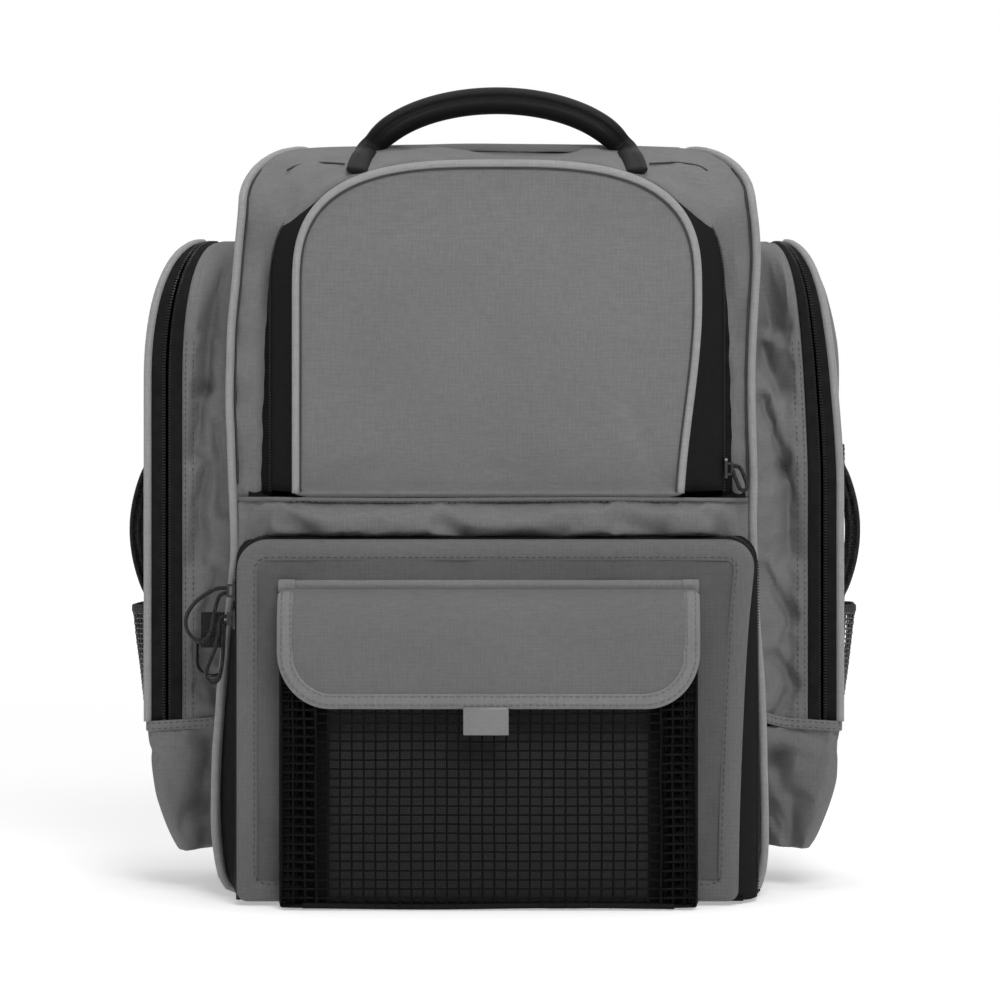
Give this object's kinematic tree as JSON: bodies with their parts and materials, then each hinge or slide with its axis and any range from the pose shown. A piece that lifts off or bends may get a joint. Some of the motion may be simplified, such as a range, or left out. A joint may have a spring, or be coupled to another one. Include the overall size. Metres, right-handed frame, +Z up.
{
  "type": "tackle backpack",
  "caption": "Soft tackle backpack with a drop-down zipped tackle door, mesh pouch and flap, arched upper door, zipped side pockets, carry handle and shoulder straps.",
  "frame": {"origin": "on the ground under the middle of the bag, straps and pouch included", "axes": "+Z up, -Y towards the front with the doors, +X to the viewer's right when facing the front"},
  "size_m": [0.467, 0.2947, 0.4993],
  "materials": {
    "grey_fabric": "woven polyester, matt",
    "door_fabric": "woven polyester, matt, a shade darker",
    "binding": "stitched polyester binding",
    "piping": "corded edge piping, satin",
    "black_fabric": "black polyester, matt",
    "stiffener": "black plastic sheet",
    "zip": "black nylon zip",
    "mesh": "black coated mesh",
    "webbing": "black woven webbing",
    "pull_webbing": "grey woven webbing, satin",
    "grip": "black padded grip, satin",
    "strap_padding": "black foam pad in fabric",
    "black_metal": "black coated zinc",
    "buckle": "black acetal",
    "cord": "black braided cord"
  },
  "bodies": {
    "bag": {"side_panel_left": "grey_fabric", "side_panel_right": "grey_fabric", "top_panel": "grey_fabric", "back_wall": "black_fabric", "base_panel": "black_fabric", "front_yoke": "grey_fabric", "storage_ledge": "grey_fabric", "divider_shelf": "black_fabric", "back_pad": "black_fabric", "frame_sheet": "stiffener", "base_board": "stiffener", "body_piping": "piping", "lower_zip_bag_side": "zip", "upper_zip_bag_side": "zip", "handle_patch": "grey_fabric", "handle_tabs": "webbing", "d_ring_tab": "webbing", "strap_tabs": "webbing", "left_pocket_gusset": "grey_fabric", "right_pocket_gusset": "grey_fabric", "left_pocket_base": "grey_fabric", "right_pocket_base": "grey_fabric", "left_zip_bag_side": "zip", "right_zip_bag_side": "zip"},
    "tackle_door": {"tackle_door_panel": "door_fabric", "tackle_door_binding": "binding", "lower_zip_door_side": "zip", "pouch_front": "mesh", "pouch_bellows": "mesh", "flap_seam_strip": "grey_fabric"},
    "pouch_flap": {"pouch_flap_panel": "grey_fabric", "pouch_flap_binding": "binding", "flap_pull_tab": "pull_webbing"},
    "upper_door": {"upper_door_panel": "grey_fabric", "upper_door_piping": "piping", "upper_zip_door_side": "zip"},
    "left_pocket_door": {"left_side_door": "grey_fabric", "left_zip_door_side": "zip", "left_mesh_sleeve": "mesh", "left_grab_loop": "webbing"},
    "right_pocket_door": {"right_side_door": "grey_fabric", "right_zip_door_side": "zip", "right_mesh_sleeve": "mesh", "right_grab_loop": "webbing"},
    "handle": {"carry_handle": "grip"},
    "ring": {"d_ring": "black_metal"},
    "tackle_slider_upper": {"lower_slider_a": "black_metal", "lower_pull_cord_a": "cord"},
    "tackle_slider_lower": {"lower_slider_b": "black_metal", "lower_pull_cord_b": "cord"},
    "upper_door_slider": {"upper_slider": "black_metal", "upper_pull_cord": "cord"},
    "left_pocket_slider": {"left_slider": "black_metal"},
    "right_pocket_slider": {"right_slider": "black_metal"},
    "left_strap": {"left_shoulder_pad": "strap_padding", "left_strap_webbing": "webbing", "left_ladder_lock": "buckle"},
    "right_strap": {"right_shoulder_pad": "strap_padding", "right_strap_webbing": "webbing", "right_ladder_lock": "buckle"}
  },
  "joints": [
    {"name": "tackle_door_hinge", "type": "hinge", "parent": "bag", "child": "tackle_door", "pos_m": [0, -0.123, 0.004], "axis": [1, 0, 0], "range_deg": [0, 75]},
    {"name": "pouch_flap_hinge", "type": "hinge", "parent": "tackle_door", "child": "pouch_flap", "pos_m": [-0.005, -0.1244, 0.1915], "axis": [-1, 0, 0], "range_deg": [0, 110]},
    {"name": "upper_door_hinge", "type": "hinge", "parent": "bag", "child": "upper_door", "pos_m": [0, -0.11, 0.246], "axis": [1, 0, 0], "range_deg": [0, 85]},
    {"name": "left_pocket_door_hinge", "type": "hinge", "parent": "bag", "child": "left_pocket_door", "pos_m": [-0.2193, 0.007, 0.1035], "axis": [0, -1, 0], "range_deg": [0, 80]},
    {"name": "right_pocket_door_hinge", "type": "hinge", "parent": "bag", "child": "right_pocket_door", "pos_m": [0.2193, 0.007, 0.1035], "axis": [0, 1, 0], "range_deg": [0, 80]},
    {"name": "handle_hinge", "type": "hinge", "parent": "bag", "child": "handle", "pos_m": [0, -0.048, 0.462], "axis": [1, 0, 0], "range_deg": [-45, 60]},
    {"name": "ring_hinge", "type": "hinge", "parent": "bag", "child": "ring", "pos_m": [-0.1755, -0.066, 0.156], "axis": [1, 0, 0], "range_deg": [-25, 25]},
    {"name": "tackle_slider_upper_slide", "type": "slide", "parent": "bag", "child": "tackle_slider_upper", "axis": [0, 0, 1], "range_m": [0, 0.006]},
    {"name": "tackle_slider_lower_slide", "type": "slide", "parent": "bag", "child": "tackle_slider_lower", "axis": [0, 0, 1], "range_m": [-0.148, 0]},
    {"name": "upper_door_slider_slide", "type": "slide", "parent": "bag", "child": "upper_door_slider", "axis": [0, 0, 1], "range_m": [0, 0.08]},
    {"name": "left_pocket_slider_slide", "type": "slide", "parent": "bag", "child": "left_pocket_slider", "axis": [0, 0, 1], "range_m": [0, 0.22]},
    {"name": "right_pocket_slider_slide", "type": "slide", "parent": "bag", "child": "right_pocket_slider", "axis": [0, 0, 1], "range_m": [0, 0.22]},
    {"name": "left_strap_swing", "type": "hinge", "parent": "bag", "child": "left_strap", "pos_m": [-0.056, 0.094, 0.428], "axis": [0.1793, 0, 0.9838], "range_deg": [-20, 20]},
    {"name": "right_strap_swing", "type": "hinge", "parent": "bag", "child": "right_strap", "pos_m": [0.056, 0.094, 0.428], "axis": [-0.1793, 0, 0.9838], "range_deg": [-20, 20]}
  ]
}
